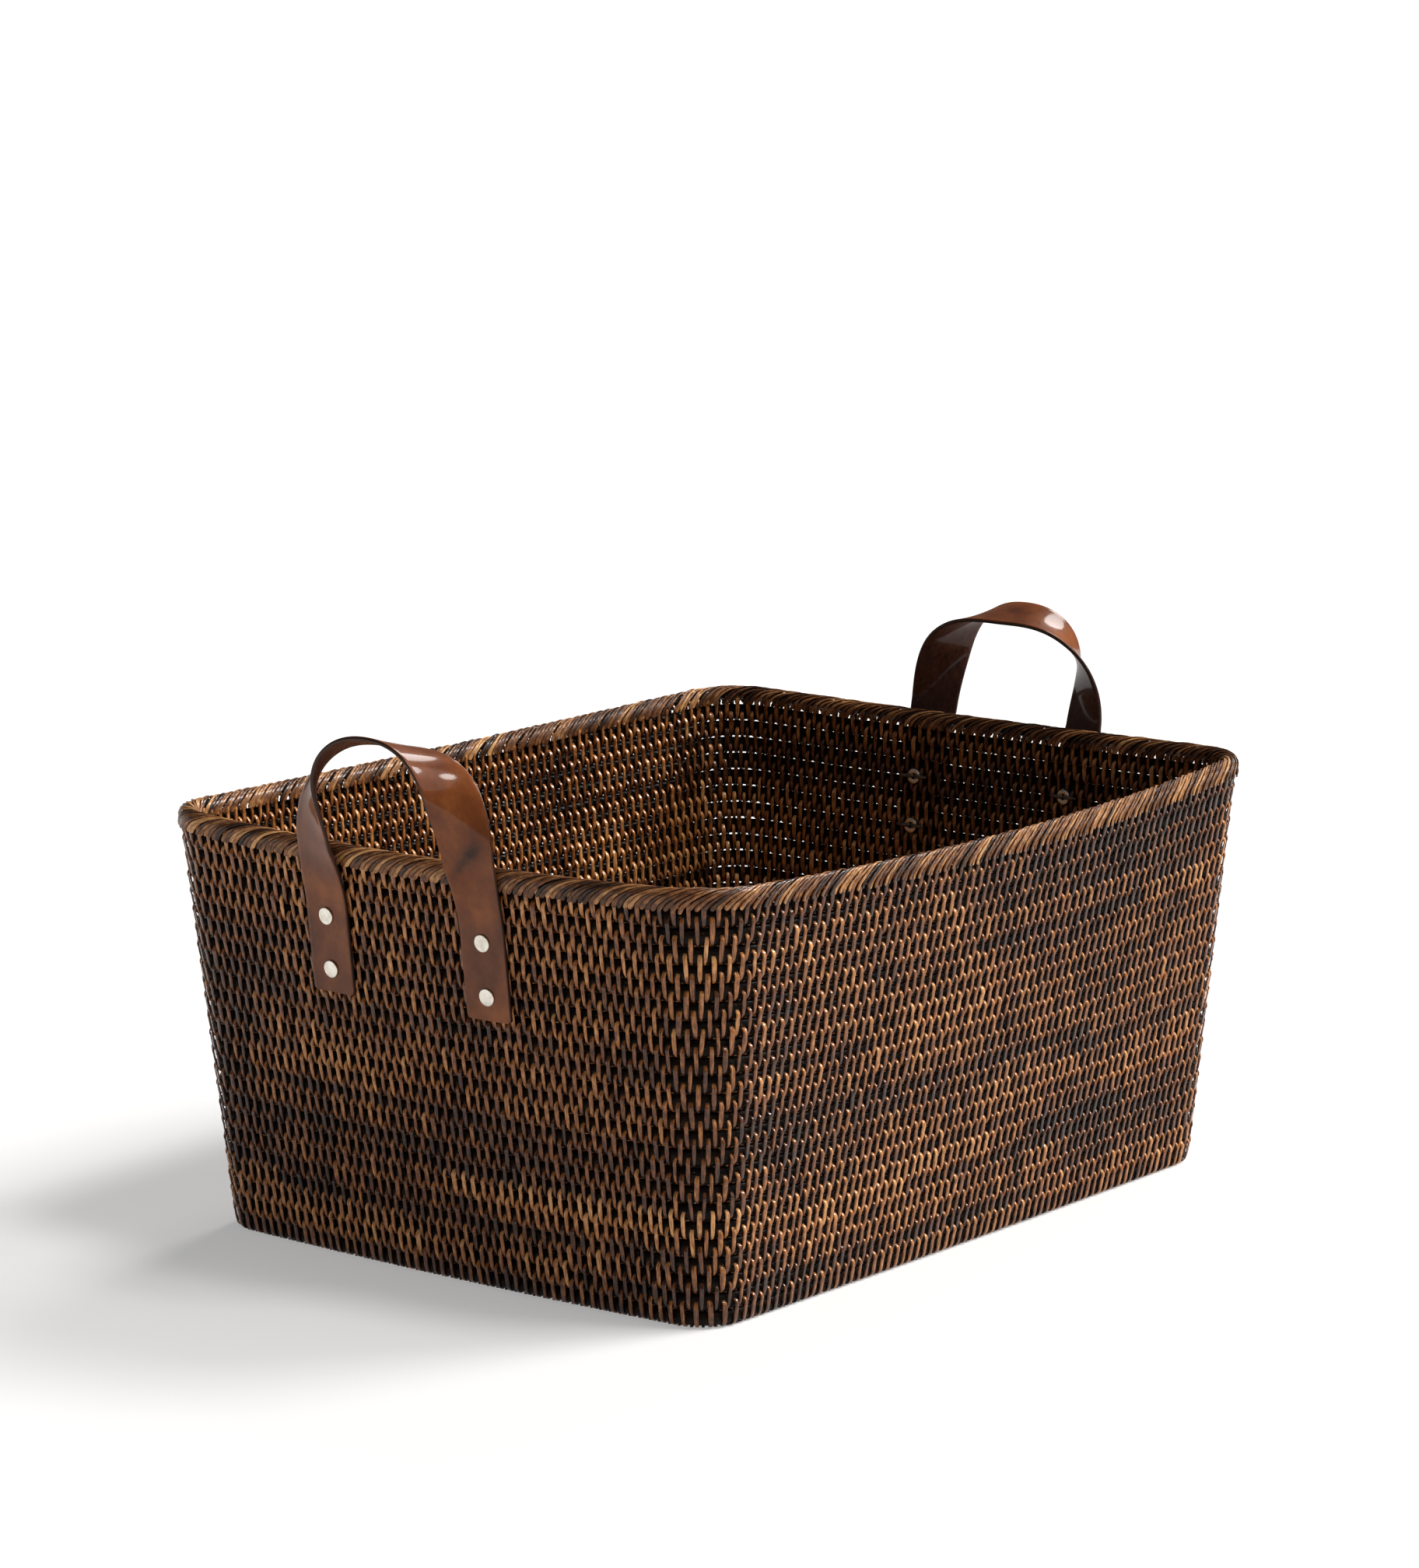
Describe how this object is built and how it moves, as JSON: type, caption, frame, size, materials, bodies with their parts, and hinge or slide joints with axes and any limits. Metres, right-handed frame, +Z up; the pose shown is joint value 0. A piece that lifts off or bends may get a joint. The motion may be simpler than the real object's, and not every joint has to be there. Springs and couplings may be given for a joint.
{
  "type": "wicker log basket",
  "caption": "Rectangular woven rattan log basket, wider at its bound rim than at its base, with a riveted leather strap handle on each end wall.",
  "frame": {"origin": "on the floor, under the middle of the base", "axes": "+Z up; X along the basket's long sides, with a handle at each end of X; Y across, towards the back"},
  "size_m": [0.7254, 0.5356, 0.3857],
  "materials": {
    "wall_rod": "stained, satin",
    "woven_strip": "stained, satin, uneven",
    "rim_binding": "stained, satin, worn",
    "strap_leather": "waxed, scuffed",
    "rivet_metal": "satin"
  },
  "bodies": {
    "basket": {"wall_rod_01": "wall_rod", "wall_rod_02": "wall_rod", "wall_rod_03": "wall_rod", "wall_rod_04": "wall_rod", "wall_rod_05": "wall_rod", "wall_rod_06": "wall_rod", "wall_rod_07": "wall_rod", "wall_rod_08": "wall_rod", "wall_rod_09": "wall_rod", "wall_rod_10": "wall_rod", "wall_rod_11": "wall_rod", "wall_rod_12": "wall_rod", "wall_rod_13": "wall_rod", "wall_rod_14": "wall_rod", "wall_rod_15": "wall_rod", "wall_rod_16": "wall_rod", "wall_rod_17": "wall_rod", "wall_rod_18": "wall_rod", "wall_rod_19": "wall_rod", "wall_rod_20": "wall_rod", "wall_rod_21": "wall_rod", "wall_rod_22": "wall_rod", "wall_rod_23": "wall_rod", "weave_outer_front": "woven_strip", "weave_outer_right": "woven_strip", "weave_outer_back": "woven_strip", "weave_outer_left": "woven_strip", "weave_inner_front": "woven_strip", "weave_inner_right": "woven_strip", "weave_inner_back": "woven_strip", "weave_inner_left": "woven_strip", "base_weave": "woven_strip", "rim_core": "wall_rod", "rim_wrap": "rim_binding", "handle_left_foot_a": "strap_leather", "handle_left_foot_b": "strap_leather", "handle_right_foot_a": "strap_leather", "handle_right_foot_b": "strap_leather", "rivet_left_a_lower": "rivet_metal", "washer_left_a_lower": "rivet_metal", "rivet_left_a_upper": "rivet_metal", "washer_left_a_upper": "rivet_metal", "rivet_left_b_lower": "rivet_metal", "washer_left_b_lower": "rivet_metal", "rivet_left_b_upper": "rivet_metal", "washer_left_b_upper": "rivet_metal", "rivet_right_a_lower": "rivet_metal", "washer_right_a_lower": "rivet_metal", "rivet_right_a_upper": "rivet_metal", "washer_right_a_upper": "rivet_metal", "rivet_right_b_lower": "rivet_metal", "washer_right_b_lower": "rivet_metal", "rivet_right_b_upper": "rivet_metal", "washer_right_b_upper": "rivet_metal"},
    "left_handle": {"handle_left_loop": "strap_leather"},
    "right_handle": {"handle_right_loop": "strap_leather"}
  },
  "joints": [
    {"name": "left_handle_fold", "type": "hinge", "parent": "basket", "child": "left_handle", "pos_m": [-0.339, 0.01, 0.309], "axis": [0, -1, 0], "range_deg": [-45, 75]},
    {"name": "right_handle_fold", "type": "hinge", "parent": "basket", "child": "right_handle", "pos_m": [0.339, -0.01, 0.309], "axis": [0, 1, 0], "range_deg": [-45, 75]}
  ]
}
